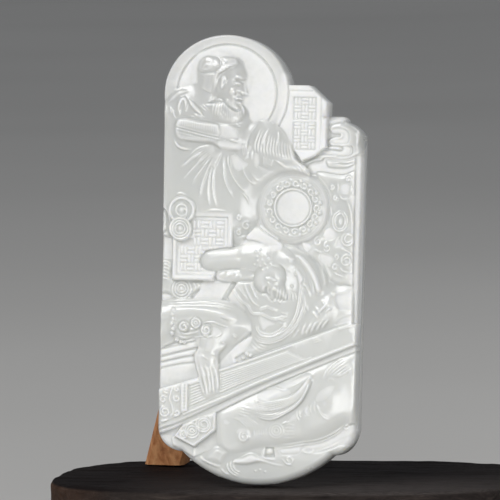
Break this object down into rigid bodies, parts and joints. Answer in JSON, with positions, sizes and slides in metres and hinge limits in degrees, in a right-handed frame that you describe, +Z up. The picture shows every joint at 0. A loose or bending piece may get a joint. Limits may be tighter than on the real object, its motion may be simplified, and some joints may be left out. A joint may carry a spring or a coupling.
{
  "type": "jade plaque carving on a wooden stand",
  "caption": "Upright white jade plaque carved in relief with a seated sage, a zither player and clouds, propped on a dark wooden slab by a slanting strut.",
  "frame": {"origin": "centre of the flat underside of the wooden slab, which is the bottom centre of the whole object", "axes": "+Z up, +X to the right along the slab's length, and the carved face looks along -Y"},
  "size_m": [0.104, 0.056, 0.1137],
  "materials": {
    "jade": "polished translucent white nephrite, with matt grounds",
    "dark_wood": "weathered, almost black, open grain",
    "pale_wood": "raw mottled tan wood"
  },
  "bodies": {
    "root": {"jade_plaque": "jade", "stand_slab": "dark_wood", "stand_strut": "pale_wood"}
  },
  "joints": []
}
